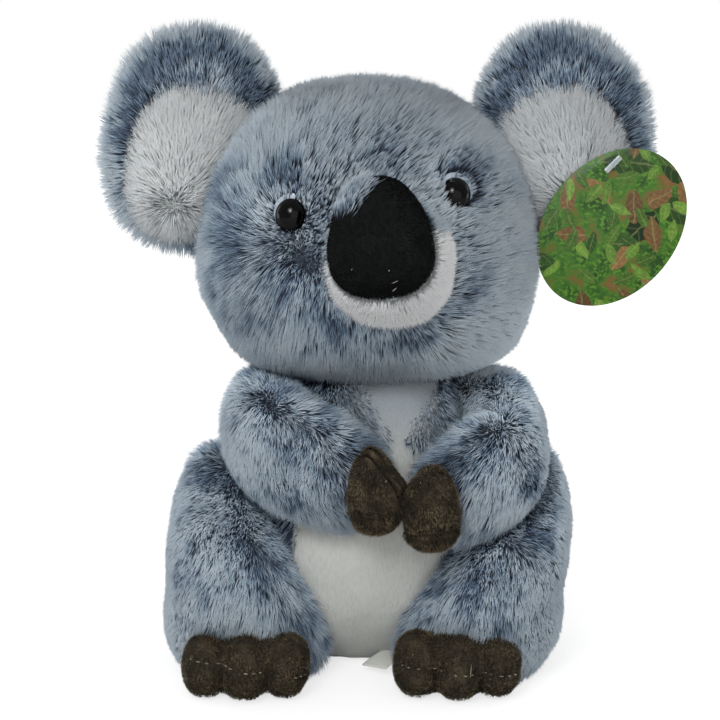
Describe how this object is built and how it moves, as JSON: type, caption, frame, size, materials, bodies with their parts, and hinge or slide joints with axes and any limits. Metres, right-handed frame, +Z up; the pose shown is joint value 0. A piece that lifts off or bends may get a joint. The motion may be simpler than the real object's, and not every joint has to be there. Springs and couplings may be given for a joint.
{
  "type": "plush koala",
  "caption": "Seated plush koala with a turning head, folding ears, arms that open, legs that splay and a swinging oval hang tag.",
  "frame": {"origin": "on the flat underside of the seat panel, on the body's middle line", "axes": "+Z up, the toy faces -Y, its own left is +X"},
  "size_m": [0.2272, 0.1414, 0.2459],
  "materials": {
    "body_skin": "long pile, frosted",
    "belly_panel": "short pile",
    "seat_panel": "short pile",
    "body_stuffing": "loose polyester fibre",
    "pellet_pouch": "woven pouch of plastic pellets",
    "sewn_in_label": "satin weave",
    "head_skin": "long pile, frosted",
    "head_stuffing": "loose polyester fibre",
    "muzzle_patch": "pile",
    "nose": "short dense pile",
    "right_eye": "polished",
    "right_eye_rim": "satin",
    "right_eye_washer": "moulded",
    "right_ear_back": "long pile, frosted",
    "right_ear_lining": "long pile",
    "right_arm_skin": "long pile, frosted",
    "right_arm_stuffing": "loose polyester fibre",
    "right_hand_back": "short pile",
    "right_hand_palm": "short pile",
    "right_leg_skin": "long pile, frosted",
    "right_leg_stuffing": "loose polyester fibre",
    "right_foot_upper": "short pile",
    "right_foot_sole": "short pile",
    "left_eye": "polished",
    "left_eye_rim": "satin",
    "left_eye_washer": "moulded",
    "left_ear_back": "long pile, frosted",
    "left_ear_lining": "long pile",
    "left_arm_skin": "long pile, frosted",
    "left_arm_stuffing": "loose polyester fibre",
    "left_hand_back": "short pile",
    "left_hand_palm": "short pile",
    "left_leg_skin": "long pile, frosted",
    "left_leg_stuffing": "loose polyester fibre",
    "left_foot_upper": "short pile",
    "left_foot_sole": "short pile",
    "hang_tag": "coated card",
    "tag_pin": "clear"
  },
  "bodies": {
    "body": {"body_skin": "body_skin", "belly_panel": "belly_panel", "seat_panel": "seat_panel", "body_stuffing": "body_stuffing", "pellet_pouch": "pellet_pouch", "sewn_in_label": "sewn_in_label"},
    "head": {"head_skin": "head_skin", "head_stuffing": "head_stuffing", "muzzle_patch": "muzzle_patch", "nose": "nose", "right_eye": "right_eye", "right_eye_rim": "right_eye_rim", "right_eye_washer": "right_eye_washer", "left_eye": "left_eye", "left_eye_rim": "left_eye_rim", "left_eye_washer": "left_eye_washer"},
    "right_ear": {"right_ear_back": "right_ear_back", "right_ear_lining": "right_ear_lining"},
    "left_ear": {"left_ear_back": "left_ear_back", "left_ear_lining": "left_ear_lining", "tag_pin": "tag_pin"},
    "tag": {"hang_tag": "hang_tag"},
    "right_arm": {"right_arm_skin": "right_arm_skin", "right_arm_stuffing": "right_arm_stuffing", "right_hand_back": "right_hand_back", "right_hand_palm": "right_hand_palm"},
    "left_arm": {"left_arm_skin": "left_arm_skin", "left_arm_stuffing": "left_arm_stuffing", "left_hand_back": "left_hand_back", "left_hand_palm": "left_hand_palm"},
    "right_leg": {"right_leg_skin": "right_leg_skin", "right_leg_stuffing": "right_leg_stuffing", "right_foot_upper": "right_foot_upper", "right_foot_sole": "right_foot_sole"},
    "left_leg": {"left_leg_skin": "left_leg_skin", "left_leg_stuffing": "left_leg_stuffing", "left_foot_upper": "left_foot_upper", "left_foot_sole": "left_foot_sole"}
  },
  "joints": [
    {"name": "neck_turn", "type": "hinge", "parent": "body", "child": "head", "pos_m": [0.004, 0, 0.114], "axis": [0, 0, 1], "range_deg": [-15, 15], "stiffness_Nm_per_rad": 0.08},
    {"name": "right_ear_fold", "type": "hinge", "parent": "head", "child": "right_ear", "pos_m": [-0.04597, 0.006, 0.205], "axis": [0.2756, 0, 0.9613], "range_deg": [-15, 15], "stiffness_Nm_per_rad": 0.02},
    {"name": "left_ear_fold", "type": "hinge", "parent": "head", "child": "left_ear", "pos_m": [0.04797, 0.006, 0.205], "axis": [-0.2756, 0, 0.9613], "range_deg": [-15, 15], "stiffness_Nm_per_rad": 0.02},
    {"name": "tag_swing", "type": "hinge", "parent": "left_ear", "child": "tag", "pos_m": [0.097, -0.014, 0.197], "axis": [0, -1, 0], "range_deg": [-5, 35]},
    {"name": "right_arm_swing", "type": "hinge", "parent": "body", "child": "right_arm", "pos_m": [-0.031, 0.02, 0.1026], "axis": [-0.342, 0, -0.9397], "range_deg": [0, 25], "stiffness_Nm_per_rad": 0.08},
    {"name": "left_arm_swing", "type": "hinge", "parent": "body", "child": "left_arm", "pos_m": [0.041, 0.02, 0.1026], "axis": [-0.342, 0, 0.9397], "range_deg": [0, 25], "stiffness_Nm_per_rad": 0.08},
    {"name": "right_leg_splay", "type": "hinge", "parent": "body", "child": "right_leg", "pos_m": [-0.045, 0.032, 0], "axis": [0, 0, -1], "range_deg": [0, 15], "stiffness_Nm_per_rad": 0.12},
    {"name": "left_leg_splay", "type": "hinge", "parent": "body", "child": "left_leg", "pos_m": [0.046, 0.032, 0], "axis": [0, 0, 1], "range_deg": [0, 15], "stiffness_Nm_per_rad": 0.12}
  ]
}
